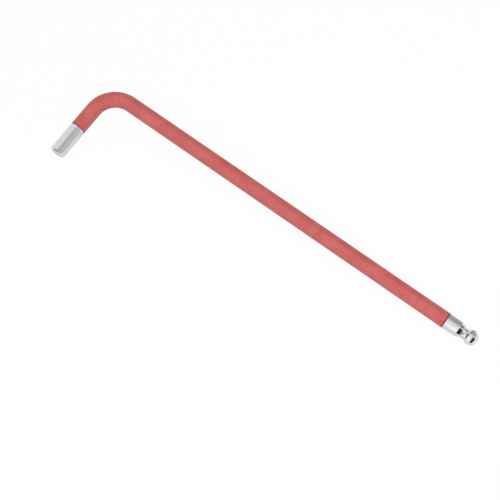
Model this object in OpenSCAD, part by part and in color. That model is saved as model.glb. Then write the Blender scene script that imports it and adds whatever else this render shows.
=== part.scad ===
// Long-arm hex key with a ball end, and a coloured coat over the middle of its bar.
//
// The key lies flat. The long arm points along +X and the short arm along -Y.
// The hexagon's corners point up and down, so flats face the inside and outside of the bend.
// The origin is on the floor, under the middle of the key's outline.
// All sizes are in millimetres.

/* [Bar] */
// Size of the key, across the flats of its hexagon
across_flats = 5; // [4:0.5:6]
// Depth taken off each corner of the hexagon
corner_trim = 0.09; // [0.03:0.01:0.2]

/* [Arms] */
// Long arm, from the outside of the short arm to the tip of the ball
long_arm = 160; // [100:1:200]
// Short arm, from the outside of the long arm to its tip
short_arm = 33; // [28:1:45]
// Inside radius of the bend
bend_inside_r = 6.9; // [5:0.1:10]
// Depth of the chamfer round the short arm's tip, measured at the corners
tip_chamfer = 0.55; // [0.2:0.05:0.8]

/* [Ball end] */
// How far the ball's flats stay inside the bar's, so that the key can tilt in a screw
ball_relief = 0.02; // [0.01:0.01:0.1]
// Width of the flat face at the ball's tip, across its flats
ball_face_w = 1.2; // [1:0.1:3]
// Width of the neck behind the ball, across its flats
neck_w = 3.5; // [3:0.1:3.8]
// Length of the neck's hollow curve, from its narrowest place back to the full bar
neck_l = 3.1; // [2:0.1:5]

/* [Coat] */
// Thickness of the coat on the flats
coat_t = 0.12; // [0.1:0.01:0.3]
// How much rounder the coat's corners are than the bar's
coat_corner_trim = 0.05; // [0:0.01:0.08]
// Bare length of the long arm, from the tip of the ball to the coat
bare_long_l = 12.2; // [10:0.1:20]
// Bare length of the short arm, from its tip to the coat
bare_short_l = 11.9; // [5:0.1:15]

/* [Hidden] */
$fn = 96;

// The bar's hexagon: half its width, and the radius that its trimmed corners reach
flat_r = across_flats / 2;
corner_r = flat_r / cos(30) - corner_trim;

// The coat's hexagon, outside the bar's
coat_w = across_flats + 2 * coat_t;
coat_corner_r = coat_w / 2 / cos(30) - corner_trim - coat_corner_trim;

// How far a cutting shape runs past the end that it doesn't cut
past_end = 1;

// The arms' centre lines cross at [0, 0], and these are the distances from there
bend_r = bend_inside_r + flat_r;
long_l = long_arm - flat_r;
short_l = short_arm - flat_r;
coat_long_l = long_l - bare_long_l;
coat_short_l = short_l - bare_short_l;

// The flats of the ball follow one circle, which the flat face at the tip cuts
ball_r = flat_r - ball_relief;
ball_x = long_l - sqrt(pow(ball_r, 2) - pow(ball_face_w / 2, 2));

// The neck's hollow curve is narrowest where it meets the back of the ball
neck_x = ball_x - sqrt(pow(ball_r, 2) - pow(neck_w / 2, 2));
neck_depth = flat_r - neck_w / 2;
neck_curve_r = (pow(neck_l, 2) + pow(neck_depth, 2)) / (2 * neck_depth);

// The chamfered tip of the short arm: the radius of its end face, and where it begins to be cut
tip_r = corner_r - tip_chamfer;
short_straight_l = short_l - bend_r;

// The middle of the key's outline, and the height at which the coat's corners touch the floor
middle_x = (long_l - coat_w / 2) / 2;
middle_y = (coat_w / 2 - short_l) / 2;
rest_z = coat_corner_r;

bar_colour = [0.80, 0.80, 0.81];
coat_colour = [0.80, 0.40, 0.38];

// A hexagon with corners at its top and bottom
module sharp_hexagon(width) {
    half = width / 2;
    corner = half / cos(30);
    polygon([[0, corner], [-half, corner / 2], [-half, -corner / 2],
             [0, -corner], [half, -corner / 2], [half, corner / 2]]);
}

// The bar in section: each corner of the hexagon is trimmed to a round land
module bar_section() {
    intersection() {
        sharp_hexagon(across_flats);
        circle(r = corner_r);
    }
}

// The coat's outside in section: the same hexagon, wider and rounder
module coat_section() {
    intersection() {
        sharp_hexagon(coat_w);
        circle(r = coat_corner_r);
    }
}

// Carries a section along the long arm, from the end of the bend
module along_long_arm(reach) {
    translate([bend_r, 0, 0]) rotate([90, 0, 90]) linear_extrude(reach - bend_r) children();
}

// Carries a section along the short arm, from the other end of the bend
module along_short_arm(reach) {
    translate([0, -bend_r, 0]) rotate([90, 0, 0]) linear_extrude(reach - bend_r) children();
}

// Carries a section round the bend, from the long arm to the short one
module round_bend() {
    translate([bend_r, -bend_r, 0]) rotate(90)
        rotate_extrude(angle = 90) translate([bend_r, 0]) children();
}

// Carries a section along the whole key, as far as the given reach on each arm
module along_key(long_reach, short_reach) {
    union() {
        union() {
            along_long_arm(long_reach) children();
            round_bend() children();
        }
        along_short_arm(short_reach) children();
    }
}

// How far the long arm may reach to each side, seen along two opposite flats.
// It is wider than the bar as far as the neck, so only the neck and the ball are cut by it.
module long_arm_outline() {
    difference() {
        translate([0, -across_flats]) square([ball_x, 2 * across_flats]);
        for (side = [-1, 1])
            translate([neck_x, side * (neck_w / 2 + neck_curve_r)]) circle(r = neck_curve_r);
    }
    translate([ball_x, 0]) circle(r = ball_r);
}

// Cuts straight through the arm with its outline, at the given turn about the arm
module flat_pair(turn) {
    rotate([turn, 0, 0]) linear_extrude(4 * across_flats, center = true) long_arm_outline();
}

// The long arm, whose neck and ball are cut across each of its three pairs of flats
module long_arm_bar() {
    intersection() {
        along_long_arm(long_l) bar_section();
        flat_pair(0);
        flat_pair(60);
        flat_pair(120);
    }
}

// The short arm, whose tip is turned to a cone that scallops its flats
module short_arm_bar() {
    intersection() {
        along_short_arm(short_l) bar_section();
        translate([0, past_end - bend_r, 0]) rotate([90, 0, 0])
            cylinder(r1 = tip_r + short_straight_l + past_end, r2 = tip_r - past_end,
                     h = short_straight_l + 2 * past_end);
    }
}

// Moves the key from its centre lines to where it lies on the floor
module lay_down() {
    translate([-middle_x, -middle_y, rest_z]) children();
}

// The steel bar, one piece from the tip of the short arm to the ball
module bar() {
    color(bar_colour) lay_down() union() {
        union() {
            long_arm_bar();
            round_bend() bar_section();
        }
        short_arm_bar();
    }
}

// The coat, one skin over the long arm, the bend and the short arm, with the bar's form inside
module coat() {
    color(coat_colour) lay_down() difference() {
        along_key(coat_long_l, coat_short_l) coat_section();
        along_key(coat_long_l + past_end, coat_short_l + past_end) bar_section();
    }
}

bar();
coat();
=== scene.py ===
import bmesh
import bpy
import math
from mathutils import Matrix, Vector


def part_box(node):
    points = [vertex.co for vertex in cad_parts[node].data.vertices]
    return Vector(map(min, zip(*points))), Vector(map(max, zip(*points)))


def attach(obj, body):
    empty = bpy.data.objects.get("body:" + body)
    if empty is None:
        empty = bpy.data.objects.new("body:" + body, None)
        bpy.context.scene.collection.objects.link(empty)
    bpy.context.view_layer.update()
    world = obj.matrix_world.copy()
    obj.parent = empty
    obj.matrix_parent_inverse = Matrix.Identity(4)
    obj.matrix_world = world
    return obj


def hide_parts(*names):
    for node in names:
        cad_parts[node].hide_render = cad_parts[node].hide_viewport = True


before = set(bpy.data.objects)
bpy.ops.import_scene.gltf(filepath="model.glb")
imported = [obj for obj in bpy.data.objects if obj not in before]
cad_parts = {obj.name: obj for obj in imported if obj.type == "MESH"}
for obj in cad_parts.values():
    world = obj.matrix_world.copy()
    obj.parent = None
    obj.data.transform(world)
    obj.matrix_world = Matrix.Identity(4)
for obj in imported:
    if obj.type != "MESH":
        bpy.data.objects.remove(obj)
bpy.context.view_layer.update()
bpy.ops.object.select_all(action="DESELECT")

# Steel bar. The real one is a length of drawn hexagon steel with softly rounded corners.
# Its short end is turned to a cone, its long end is milled to a six-sided ball on a narrow
# waisted neck, and then it is bent cold and plated.

MM = 0.001
FULL_TURN = 2 * math.pi
QUARTER_TURN = FULL_TURN / 4
BAR_LOW, BAR_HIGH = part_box("bar")

# The drawn section: half its width across the flats, and its rounded corners
FLATS = 6
FLAT_R = 2.5 * MM
HALF_FLAT_TURN = FULL_TURN / FLATS / 2
CORNER_RADIUS = 0.6 * MM
CORNER_STEPS = 4
ROUND_PROFILE = 0.5

# The bend along its centre line, and the round face that the cone, which slopes at 45 degrees,
# leaves at the short tip
BEND_R = 9.4 * MM
BEND_STEPS = 48
TIP_R = 2.247 * MM
TIP_CUTS = 72
CONE_SLOPE = math.sqrt(0.5)

# The ball, its end face and the neck: how far each is from the middle of the bar to a flat,
# and how long the neck's hollow curve is
BALL_R = 2.48 * MM
BALL_FACE_R = 0.6 * MM
BALL_STEPS = 22
NECK_R = 1.75 * MM
NECK_L = 3.1 * MM
NECK_STEPS = 12

# The broken edges, and the angle below which a surface runs on smoothly
EDGE_ROUND = 0.035 * MM
EDGE_STEPS = 3
SMOOTH_BELOW = math.radians(20)

# How near to each other doubled points lie, how near a point lies to a cut, and how near a
# face or a point lies to the end that it belongs to
DOUBLES_WITHIN = 0.0005 * MM
CUT_WITHIN = 0.0001 * MM
END_WITHIN = 0.01 * MM

# The centre lines of both arms, and the middle of the bend between them
SHORT_X = BAR_LOW.x + FLAT_R
LONG_Y = BAR_HIGH.y - FLAT_R
AXIS_Z = (BAR_LOW.z + BAR_HIGH.z) / 2
SHORT_TIP_Y = BAR_LOW.y
BALL_TIP_X = BAR_HIGH.x
BEND_MIDDLE = Vector((SHORT_X + BEND_R, LONG_Y - BEND_R, AXIS_Z))
BALL_X = BALL_TIP_X - math.sqrt(BALL_R ** 2 - BALL_FACE_R ** 2)
NECK_X = BALL_X - math.sqrt(BALL_R ** 2 - NECK_R ** 2)
SHOULDER_X = NECK_X - NECK_L


def start_piece(name):
    """Names the piece that was just added, and puts its place into its mesh."""
    piece = bpy.context.active_object
    piece.name = name
    piece.data.name = name
    bpy.ops.object.transform_apply(location=True, rotation=True, scale=True)
    return piece


def add_hexagon(half_width, y):
    """A filled hexagon across the short arm, with one corner up."""
    bpy.ops.mesh.primitive_circle_add(
        vertices=FLATS, radius=half_width / math.cos(HALF_FLAT_TURN), fill_type="NGON",
        location=(SHORT_X, y, AXIS_Z), rotation=(QUARTER_TURN, 0, 0))


def round_corners(corner_radius):
    """Rounds the corners of the selected hexagon."""
    bpy.ops.mesh.bevel(
        offset=corner_radius * math.tan(HALF_FLAT_TURN), offset_type="OFFSET",
        segments=CORNER_STEPS, profile=ROUND_PROFILE, affect="VERTICES")


def round_edges(radius, steps):
    """Rounds the selected edges, and goes back to faces."""
    bpy.ops.mesh.bevel(
        offset=radius, offset_type="OFFSET", segments=steps, affect="EDGES", clamp_overlap=True)
    bpy.ops.mesh.select_mode(type="FACE")


def select_faces(piece, wanted):
    """Leaves only the faces selected that the test picks."""
    bpy.ops.mesh.select_all(action="DESELECT")
    shape = bmesh.from_edit_mesh(piece.data)
    shape.normal_update()
    for face in shape.faces:
        if wanted(face):
            face.select_set(True)
    bmesh.update_edit_mesh(piece.data)


def pull(x=0.0, y=0.0):
    """Extrudes what is selected, straight along the floor."""
    bpy.ops.mesh.extrude_region_move(TRANSFORM_OT_translate={"value": (x, y, 0)})


def carry_round_bend():
    """Spins the selected section from the short arm to the long one."""
    bpy.ops.mesh.spin(
        steps=BEND_STEPS, angle=QUARTER_TURN, center=BEND_MIDDLE, axis=(0, 0, 1),
        use_auto_merge=False)


def join_doubles():
    """Joins doubled points, and turns every face outwards."""
    bpy.ops.mesh.select_all(action="SELECT")
    bpy.ops.mesh.remove_doubles(threshold=DOUBLES_WITHIN)
    bpy.ops.mesh.normals_make_consistent(inside=False)


def finish_mesh(piece):
    """Closes the mesh, leaves edit mode, and shades it smoothly up to its sharp edges."""
    join_doubles()
    bpy.ops.object.mode_set(mode="OBJECT")
    bpy.ops.object.shade_smooth_by_angle(angle=SMOOTH_BELOW)
    bpy.ops.object.modifier_add(type="WEIGHTED_NORMAL")
    piece.modifiers[-1].keep_sharp = True
    bpy.ops.object.modifier_apply(modifier=piece.modifiers[-1].name)


add_hexagon(FLAT_R, SHORT_TIP_Y)
bar = start_piece("steel_bar")
bpy.ops.object.mode_set(mode="EDIT")
bpy.ops.mesh.select_all(action="SELECT")
round_corners(CORNER_RADIUS)
pull(y=BEND_MIDDLE.y - SHORT_TIP_Y)

# The cone at the short tip is cut in narrow planes, which scallops the six flats
for cut in range(TIP_CUTS):
    turn = FULL_TURN * cut / TIP_CUTS
    out = Vector((math.cos(turn), 0, math.sin(turn)))
    bpy.ops.mesh.select_all(action="SELECT")
    bpy.ops.mesh.bisect(
        plane_co=Vector((SHORT_X, SHORT_TIP_Y, AXIS_Z)) + out * TIP_R,
        plane_no=out * CONE_SLOPE + Vector((0, -CONE_SLOPE, 0)),
        use_fill=True, clear_outer=True, threshold=CUT_WITHIN)

select_faces(bar, lambda face: face.calc_center_median().y > BEND_MIDDLE.y - END_WITHIN)
carry_round_bend()
pull(x=SHOULDER_X - BEND_MIDDLE.x)

# The neck's hollow curve and then the ball, as a row of widths along the arm
NECK_DEPTH = FLAT_R - NECK_R
NECK_CURVE_R = (NECK_L ** 2 + NECK_DEPTH ** 2) / (2 * NECK_DEPTH)
stations = []
for step in range(1, NECK_STEPS + 1):
    x = SHOULDER_X + NECK_L * step / NECK_STEPS
    hollow = math.sqrt(NECK_CURVE_R ** 2 - (NECK_X - x) ** 2)
    stations.append((x, NECK_R + NECK_CURVE_R - hollow))
ball_from = math.atan2(NECK_R, NECK_X - BALL_X)
ball_to = math.atan2(BALL_FACE_R, BALL_TIP_X - BALL_X)
for step in range(1, BALL_STEPS + 1):
    turn = ball_from + (ball_to - ball_from) * step / BALL_STEPS
    stations.append((BALL_X + BALL_R * math.cos(turn), BALL_R * math.sin(turn)))
at_x, at_r = SHOULDER_X, FLAT_R
for x, r in stations:
    pull(x=x - at_x)
    bpy.ops.transform.resize(
        value=(1, r / at_r, r / at_r), center_override=(x, LONG_Y, AXIS_Z))
    at_x, at_r = x, r

# Every sharp edge is broken a little, as tumbling and plating leave it
join_doubles()
bpy.ops.mesh.select_all(action="DESELECT")
bpy.ops.mesh.select_mode(type="EDGE")
bpy.ops.mesh.edges_select_sharp(sharpness=SMOOTH_BELOW)
round_edges(EDGE_ROUND, EDGE_STEPS)

# The end faces at both tips are the small upright ones with many sides
TIP_FACE_SIDES = 12
TIP_FACE_AREA = 4 * FLAT_R ** 2
UPRIGHT_BELOW = 0.5
select_faces(bar, lambda face: len(face.verts) > TIP_FACE_SIDES
             and abs(face.normal.z) < UPRIGHT_BELOW and face.calc_area() < TIP_FACE_AREA)
bpy.ops.mesh.poke()
finish_mesh(bar)

# The length of the centre line from the short tip to the bend, round the bend, and on to the
# shoulder where the neck begins
KEY_MAP = "along_and_round"
STRAIGHT_L = BEND_MIDDLE.y - SHORT_TIP_Y
BENT_L = BEND_R * QUARTER_TURN
ALONG_SHOULDER = (STRAIGHT_L + BENT_L + SHOULDER_X - BEND_MIDDLE.x) / MM


def lay_map(piece):
    """A UV map in millimetres: how far along the key from its short tip, and how far round it.
    On the two end faces the way along goes on towards their middle, as on a lathe."""
    map_ = piece.data.uv_layers.new(name=KEY_MAP)

    def place_on_key(point):
        if point.y < BEND_MIDDLE.y:
            along = point.y - SHORT_TIP_Y
            side = -(point.x - SHORT_X)
        elif point.x > BEND_MIDDLE.x:
            along = STRAIGHT_L + BENT_L + point.x - BEND_MIDDLE.x
            side = point.y - LONG_Y
        else:
            spoke = point - BEND_MIDDLE
            turned = math.atan2(spoke.y, -spoke.x)
            along = STRAIGHT_L + BEND_R * turned
            side = math.hypot(spoke.x, spoke.y) - BEND_R
        up = point.z - AXIS_Z
        radius = math.hypot(side, up)
        if point.y < SHORT_TIP_Y + END_WITHIN:
            along -= TIP_R - radius
        if point.x > BALL_TIP_X - END_WITHIN:
            along += BALL_FACE_R - radius
        return along / MM, math.atan2(side, up)

    for polygon in piece.data.polygons:
        middle = place_on_key(polygon.center)[1]
        for loop in polygon.loop_indices:
            vertex = piece.data.vertices[piece.data.loops[loop].vertex_index]
            along, turn = place_on_key(vertex.co)
            turn = middle + math.remainder(turn - middle, FULL_TURN)
            map_.uv[loop].vector = (along, turn * FLAT_R / MM)


lay_map(bar)


def new_material(name):
    """A material, with the node tree and the shader that it starts with."""
    material = bpy.data.materials.new(name)
    material.use_nodes = True
    return material, material.node_tree, material.node_tree.nodes["Principled BSDF"]


def add_node(tree, kind, settings=None, inputs=None):
    """A node with its settings, and with each input either set or fed from a socket."""
    node = tree.nodes.new(kind)
    for name, value in (settings or {}).items():
        setattr(node, name, value)
    for name, value in (inputs or {}).items():
        if isinstance(value, bpy.types.NodeSocket):
            tree.links.new(value, node.inputs[name])
        else:
            node.inputs[name].default_value = value
    return node


def read_map(tree):
    """The key's map, and from it how far along the key and how far round it, in millimetres."""
    key_map = add_node(tree, "ShaderNodeUVMap", {"uv_map": KEY_MAP}).outputs["UV"]
    split = add_node(tree, "ShaderNodeSeparateXYZ", inputs={"Vector": key_map}).outputs
    return key_map, split["X"], split["Y"]


def noise(tree, vector, scale, detail=3.0, roughness=0.5, stretch=(1, 1, 1)):
    """Noise whose pattern is closer where its stretch is larger."""
    placed = add_node(tree, "ShaderNodeMapping", inputs={"Vector": vector, "Scale": stretch})
    made = add_node(tree, "ShaderNodeTexNoise", inputs={
        "Vector": placed.outputs["Vector"], "Scale": scale, "Detail": detail,
        "Roughness": roughness})
    return made.outputs["Fac"]


def ramp(tree, value, low, high, to_low, to_high, smooth=False):
    """Takes a value from one range to another, and holds it at the ends."""
    made = add_node(
        tree, "ShaderNodeMapRange",
        {"interpolation_type": "SMOOTHSTEP" if smooth else "LINEAR"},
        {"Value": value, "From Min": low, "From Max": high, "To Min": to_low, "To Max": to_high})
    return made.outputs["Result"]


def maths(tree, operation, first, second=0.0):
    """One sum, product or the like of two values."""
    made = add_node(tree, "ShaderNodeMath", {"operation": operation}, {0: first, 1: second})
    return made.outputs["Value"]


def blend_colours(tree, share, first, second):
    """The first colour where the share is 0, and the second where it is 1."""
    made = add_node(tree, "ShaderNodeMix", {"data_type": "RGBA"},
                    {"Factor": share, 6: first, 7: second})
    return made.outputs[2]


def blend_values(tree, share, first, second):
    """The first value where the share is 0, and the second where it is 1."""
    made = add_node(tree, "ShaderNodeMix", {"data_type": "FLOAT"},
                    {"Factor": share, 2: first, 3: second})
    return made.outputs[0]


# Plated steel: its two tones, and the greyer tint of what it mirrors at a glancing angle
PALE_STEEL = (0.80, 0.80, 0.81, 1)
GREY_STEEL = (0.74, 0.745, 0.76, 1)
STEEL_RIMS = (0.74, 0.74, 0.75, 1)

# How close the lines lie along the key and round it: drawn along the bar, and turned round
# the tip of the short arm, the neck and the ball
DRAWN_LINES = (0.15, 14, 1)
TURNED_LINES = (17, 0.25, 1)
TURNED_TIP_L = 0.3
SHOULDER_BLEND = 0.05
LINE_RANGE = (0.3, 0.7)
DRAWN_ROUGHNESS = (0.13, 0.24)
TURNED_ROUGHNESS = (0.07, 0.13)
LINE_STRENGTH = 0.35
LINE_DEPTH = 0.01 * MM

# A faint cloudiness in the plating
CLOUD_SCALE = 400
CLOUD_RANGE = (0.3, 0.7)
DULL_RANGE = (0.35, 0.7)
DULL_ROUGHNESS = (0.0, 0.05)

steel, tree, shader = new_material("plated_steel")
key_map, along, round_key = read_map(tree)
drawn = noise(tree, key_map, 1.0, detail=4, roughness=0.6, stretch=DRAWN_LINES)
turned = noise(tree, key_map, 1.0, detail=3, roughness=0.55, stretch=TURNED_LINES)
on_ball = ramp(tree, along, ALONG_SHOULDER - SHOULDER_BLEND, ALONG_SHOULDER + SHOULDER_BLEND, 0, 1)
on_tip = ramp(tree, along, 0.0, TURNED_TIP_L, 1, 0)
machined = maths(tree, "MAXIMUM", on_ball, on_tip)
lines = blend_values(tree, machined, drawn, turned)
in_space = add_node(tree, "ShaderNodeTexCoord").outputs["Object"]
cloudy = noise(tree, in_space, CLOUD_SCALE, detail=4)
rough = blend_values(tree, machined, ramp(tree, lines, *LINE_RANGE, *DRAWN_ROUGHNESS),
                     ramp(tree, lines, *LINE_RANGE, *TURNED_ROUGHNESS))
rough = maths(tree, "ADD", rough, ramp(tree, cloudy, *DULL_RANGE, *DULL_ROUGHNESS))
tree.links.new(rough, shader.inputs["Roughness"])
tint = blend_colours(tree, ramp(tree, cloudy, *CLOUD_RANGE, 0, 1), PALE_STEEL, GREY_STEEL)
tree.links.new(tint, shader.inputs["Base Color"])
shader.inputs["Metallic"].default_value = 1.0
shader.inputs["Specular Tint"].default_value = STEEL_RIMS

# Drawing leaves each flat a little crowned, which spreads a soft gradient across it
CROWN = 0.025 * MM
crown = maths(tree, "COSINE", maths(tree, "MULTIPLY", round_key, FLATS * MM / FLAT_R))
crown = maths(tree, "MULTIPLY", crown, -CROWN)
relief = add_node(tree, "ShaderNodeBump", inputs={
    "Strength": 1.0, "Distance": 1.0, "Height": crown})
relief = add_node(tree, "ShaderNodeBump", inputs={
    "Strength": LINE_STRENGTH, "Distance": LINE_DEPTH, "Height": lines,
    "Normal": relief.outputs["Normal"]})
tree.links.new(relief.outputs["Normal"], shader.inputs["Normal"])
bar.data.materials.append(steel)
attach(bar, "root")
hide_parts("bar")

# Red coat. The real one is a thin baked coat over the middle of the bar, and both ends are
# left bare. It rounds the hexagon's corners, and its two edges are soft steps.

COAT_LOW, COAT_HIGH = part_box("coat")
COAT_R = COAT_HIGH.y - LONG_Y
COAT_CORNER_RADIUS = 0.9 * MM
COAT_EDGE_ROUND = 0.07 * MM
COAT_EDGE_STEPS = 4
RIM_WITHIN = 0.001 * MM
OUTWARD_ABOVE = 0.5

# The section is the space between two hexagons, whose outlines are bridged
add_hexagon(COAT_R, COAT_LOW.y)
coat = start_piece("red_coat")
bpy.ops.object.mode_set(mode="EDIT")
bpy.ops.mesh.select_mode(type="FACE")
bpy.ops.mesh.select_all(action="SELECT")
round_corners(COAT_CORNER_RADIUS)
bpy.ops.mesh.select_all(action="DESELECT")
add_hexagon(FLAT_R, COAT_LOW.y)
round_corners(CORNER_RADIUS)
bpy.ops.mesh.select_all(action="SELECT")
bpy.ops.mesh.delete(type="ONLY_FACE")
bpy.ops.mesh.select_mode(type="EDGE")
bpy.ops.mesh.select_all(action="SELECT")
bpy.ops.mesh.bridge_edge_loops()
bpy.ops.mesh.select_mode(type="FACE")
bpy.ops.mesh.select_all(action="SELECT")
pull(y=BEND_MIDDLE.y - COAT_LOW.y)
carry_round_bend()
pull(x=COAT_HIGH.x - BEND_MIDDLE.x)


def select_outer_rims(piece):
    """Selects the outer edge of the coat at both its ends."""
    shape = bmesh.from_edit_mesh(piece.data)
    shape.normal_update()
    for edge in shape.edges:
        middle = (edge.verts[0].co + edge.verts[1].co) / 2
        if abs(middle.y - COAT_LOW.y) < RIM_WITHIN:
            out = Vector((middle.x - SHORT_X, 0, middle.z - AXIS_Z))
        elif abs(middle.x - COAT_HIGH.x) < RIM_WITHIN:
            out = Vector((0, middle.y - LONG_Y, middle.z - AXIS_Z))
        else:
            continue
        leans = [face.normal.dot(out.normalized()) for face in edge.link_faces]
        if max(leans) > OUTWARD_ABOVE:
            edge.select_set(True)
    bmesh.update_edit_mesh(piece.data)


join_doubles()
bpy.ops.mesh.select_all(action="DESELECT")
bpy.ops.mesh.select_mode(type="EDGE")
select_outer_rims(coat)
round_edges(COAT_EDGE_ROUND, COAT_EDGE_STEPS)
finish_mesh(coat)
lay_map(coat)

# The coat's red in soft patches, and painted shade close to both its edges: a dark red that stands
# in for the shade at the coat's rounded end steps. The painted shade is full up to the first
# distance from the edge and has faded out by the second, in millimetres.
RED = (0.572, 0.107, 0.100, 1)
PALE_RED = (0.662, 0.152, 0.144, 1)
EDGE_SHADE_RED = (0.27, 0.045, 0.055, 1)
PATCH_SCALE = 180
PATCH_RANGE = (0.35, 0.65)
EDGE_SHADE_FROM_START = (0.25, 0.60)
EDGE_SHADE_FROM_END = (0.40, 0.75)

# The satin surface, with the slight peel of a baked coat and a fine grain in it
PEEL_SCALE = 1100
GRAIN_SCALE = 5200
GRAIN_RANGE = (0.3, 0.7)
COAT_ROUGHNESS = (0.40, 0.52)
COAT_SPECULAR = 0.42
GRAIN_SHARE = 0.25
PEEL_STRENGTH = 0.6
PEEL_DEPTH = 0.03 * MM

# Where the coat starts and ends, in millimetres along the key
COAT_STARTS = (COAT_LOW.y - SHORT_TIP_Y) / MM
COAT_ENDS = ALONG_SHOULDER - (SHOULDER_X - COAT_HIGH.x) / MM

red, tree, shader = new_material("red_coat")
in_space = add_node(tree, "ShaderNodeTexCoord").outputs["Object"]
along = read_map(tree)[1]
peel = noise(tree, in_space, PEEL_SCALE, detail=2)
grain = noise(tree, in_space, GRAIN_SCALE, detail=3, roughness=0.6)
patches = noise(tree, in_space, PATCH_SCALE, detail=6, roughness=0.72)
# Painted shade: the base colour turns dark red near both ends of the coat, standing in for the
# shade at its end steps
edge_shade_at_start = ramp(
    tree, along, COAT_STARTS + EDGE_SHADE_FROM_START[0], COAT_STARTS + EDGE_SHADE_FROM_START[1], 1, 0)
edge_shade_at_end = ramp(tree, along, COAT_ENDS - EDGE_SHADE_FROM_END[1], COAT_ENDS - EDGE_SHADE_FROM_END[0], 0, 1)
shade = blend_colours(tree, ramp(tree, patches, *PATCH_RANGE, 0, 1), RED, PALE_RED)
shade = blend_colours(tree, maths(tree, "MAXIMUM", edge_shade_at_start, edge_shade_at_end), shade, EDGE_SHADE_RED)
tree.links.new(shade, shader.inputs["Base Color"])
rough = ramp(tree, grain, *GRAIN_RANGE, *COAT_ROUGHNESS)
tree.links.new(rough, shader.inputs["Roughness"])
shader.inputs["Specular IOR Level"].default_value = COAT_SPECULAR
surface = maths(tree, "ADD", peel, maths(tree, "MULTIPLY", grain, GRAIN_SHARE))
relief = add_node(tree, "ShaderNodeBump", inputs={
    "Strength": PEEL_STRENGTH, "Distance": PEEL_DEPTH, "Height": surface})
tree.links.new(relief.outputs["Normal"], shader.inputs["Normal"])
coat.data.materials.append(red)
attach(coat, "root")
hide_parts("coat")

# Floor. A plain pale grey sheet that the key lies on, 8 metres wide. The camera sees it almost
# white, with the key's soft shadow on it, and the steel mirrors it pale.

FLOOR_SIZE = 8.0
FLOOR_GREY = (0.62, 0.62, 0.62, 1)
WHITE = (1.0, 1.0, 1.0, 1)
WHITE_LEVEL = 1.0

# How much of the floor is a plain white glow, to the camera and to what the steel mirrors
WHITE_TO_CAMERA = 0.90
WHITE_TO_STEEL = 0.25


def seeing_rays(tree):
    """The rays of the camera, and those together with the ones that steel or glass sends on."""
    path = add_node(tree, "ShaderNodeLightPath").outputs
    sent_on = maths(tree, "MAXIMUM", path["Is Glossy Ray"], path["Is Transmission Ray"])
    return path["Is Camera Ray"], maths(tree, "MAXIMUM", path["Is Camera Ray"], sent_on)


bpy.ops.mesh.primitive_plane_add(size=FLOOR_SIZE, location=(0, 0, 0))
floor = start_piece("floor")
sheet, tree, shader = new_material("floor_sheet")
shader.inputs["Roughness"].default_value = 1.0
shader.inputs["Specular IOR Level"].default_value = 0.0
on_camera, seen = seeing_rays(tree)
tree.links.new(blend_colours(tree, seen, FLOOR_GREY, WHITE), shader.inputs["Base Color"])
glow = add_node(tree, "ShaderNodeEmission", inputs={"Color": WHITE, "Strength": WHITE_LEVEL})
whiteness = blend_values(
    tree, on_camera, maths(tree, "MULTIPLY", seen, WHITE_TO_STEEL), WHITE_TO_CAMERA)
lit = add_node(tree, "ShaderNodeMixShader", inputs={
    "Fac": whiteness, 1: shader.outputs["BSDF"], 2: glow.outputs["Emission"]})
tree.links.new(lit.outputs["Shader"], tree.nodes["Material Output"].inputs["Surface"])
floor.data.materials.append(sheet)

# Light. One large softbox hangs above and before the key, and the steel doesn't mirror it.
# The steel mirrors a white studio with soft pale, grey and dark areas in it, and the camera
# sees that studio plain white.

SOFTBOX_SIZE = 0.46
SOFTBOX_POWER = 3.4
SOFTBOX_DISTANCE = 0.85
SOFTBOX_ELEVATION = 60
SOFTBOX_AZIMUTH = -44
STUDIO_LEVEL = 0.43


def direction(elevation, azimuth):
    """A direction that points out from the key. Azimuth 0 is +X and 90 is +Y, in degrees."""
    up = math.radians(elevation)
    turn = math.radians(azimuth)
    return Vector((math.cos(up) * math.cos(turn), math.cos(up) * math.sin(turn), math.sin(up)))


to_softbox = direction(SOFTBOX_ELEVATION, SOFTBOX_AZIMUTH)
bpy.ops.object.light_add(type="AREA", location=to_softbox * SOFTBOX_DISTANCE)
softbox = bpy.context.active_object
softbox.name = "softbox_above"
softbox.rotation_euler = to_softbox.to_track_quat("Z", "Y").to_euler()
softbox.data.size = SOFTBOX_SIZE
softbox.data.energy = SOFTBOX_POWER
softbox.visible_camera = False
softbox.visible_glossy = False

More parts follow.
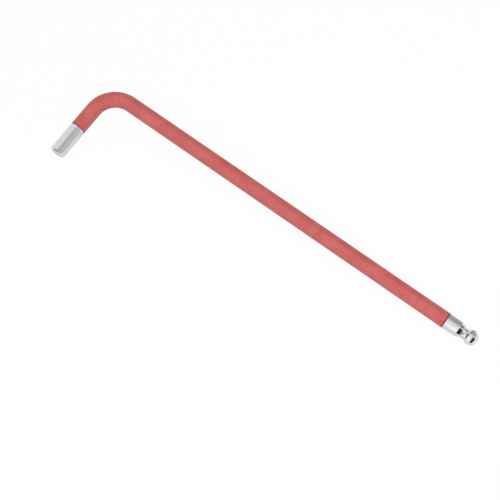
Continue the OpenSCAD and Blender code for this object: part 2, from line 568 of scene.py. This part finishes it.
# Each area of the studio: its elevation and azimuth, how far it reaches from there in full and
# at its rim, all in degrees, and its level. A later one lies over those before it.
STUDIO_AREAS = [
    # The wide sides at both ends of the long arm
    ((20, -170), 30, 60, 0.18),
    ((12, 5), 15, 35, 0.80),
    # The wall before the long arm, which its near flats mirror
    ((36, -118), 16, 30, 1.15),
    ((33, -91), 17, 29, 1.18),
    # Overhead, for the ridge along the top of the long arm
    ((62, -90), 4, 14, 0.84),
    ((85, -90), 19, 30, 0.62),
    # For the short arm: its inner flat, three parts of its top ridge, and its outer flat
    ((48, 18), 14, 26, 0.61),
    ((59, 22), 2, 7, 0.34),
    ((70, 47), 7, 12, 1.30),
    ((58, 152), 12, 26, 0.93),
    ((8, 167), 13, 26, 0.90),
    # Behind the long arm, for its far flats and those of the neck and the ball
    ((12, 90), 14, 34, 0.385),
    ((8, 75), 4, 8, 0.90),
    ((3, 59), 7, 12, 0.10),
    ((4, 119), 7, 13, 0.15),
    # Low before the long arm, for the steel that turns down towards the floor
    ((6, -92), 17, 26, 0.20),
    ((3, -66), 10, 18, 0.12),
    ((3, -121), 9, 15, 0.15),
    # The grey and the black in the neck and the front of the ball
    ((41, -58), 10, 15, 0.42),
    ((24, -32), 15, 27, 0.015),
]

world = bpy.data.worlds.new("studio")
bpy.context.scene.world = world
world.use_nodes = True
tree = world.node_tree
looking = add_node(tree, "ShaderNodeTexCoord").outputs["Generated"]
on_camera, seen = seeing_rays(tree)
level = blend_values(tree, seen, STUDIO_LEVEL, WHITE_LEVEL)
for (elevation, azimuth), full, rim, area_level in STUDIO_AREAS:
    facing = add_node(tree, "ShaderNodeVectorMath", {"operation": "DOT_PRODUCT"}, {
        0: looking, 1: direction(elevation, azimuth)}).outputs["Value"]
    share = ramp(tree, facing, math.cos(math.radians(rim)), math.cos(math.radians(full)), 0, 1,
                 smooth=True)
    level = blend_values(tree, share, level, area_level)
level = blend_values(tree, on_camera, level, WHITE_LEVEL)
tree.links.new(level, tree.nodes["Background"].inputs["Strength"])
tree.nodes["Background"].inputs["Color"].default_value = WHITE

# Camera. It looks down on the key from before its long arm, at the angle and with the long
# lens that a fit to the outlines in the photograph gives. Its turns are in degrees.

CAMERA_PLACE = (69.0 * MM, -102.97 * MM, 374.06 * MM)
CAMERA_TURN = (17.923, -0.2517, 36.2053)
CAMERA_LENS = 81.263
CAMERA_SHIFT = (-0.00054, 0.0006)
SENSOR_WIDTH = 36
NEAREST_SEEN = 5 * MM

bpy.ops.object.camera_add(
    location=CAMERA_PLACE, rotation=[math.radians(angle) for angle in CAMERA_TURN])
camera = bpy.context.active_object
camera.data.sensor_fit = "HORIZONTAL"
camera.data.sensor_width = SENSOR_WIDTH
camera.data.lens = CAMERA_LENS
camera.data.shift_x = CAMERA_SHIFT[0]
camera.data.shift_y = CAMERA_SHIFT[1]
camera.data.clip_start = NEAREST_SEEN
bpy.context.scene.camera = camera
bpy.context.scene.view_settings.view_transform = "Standard"
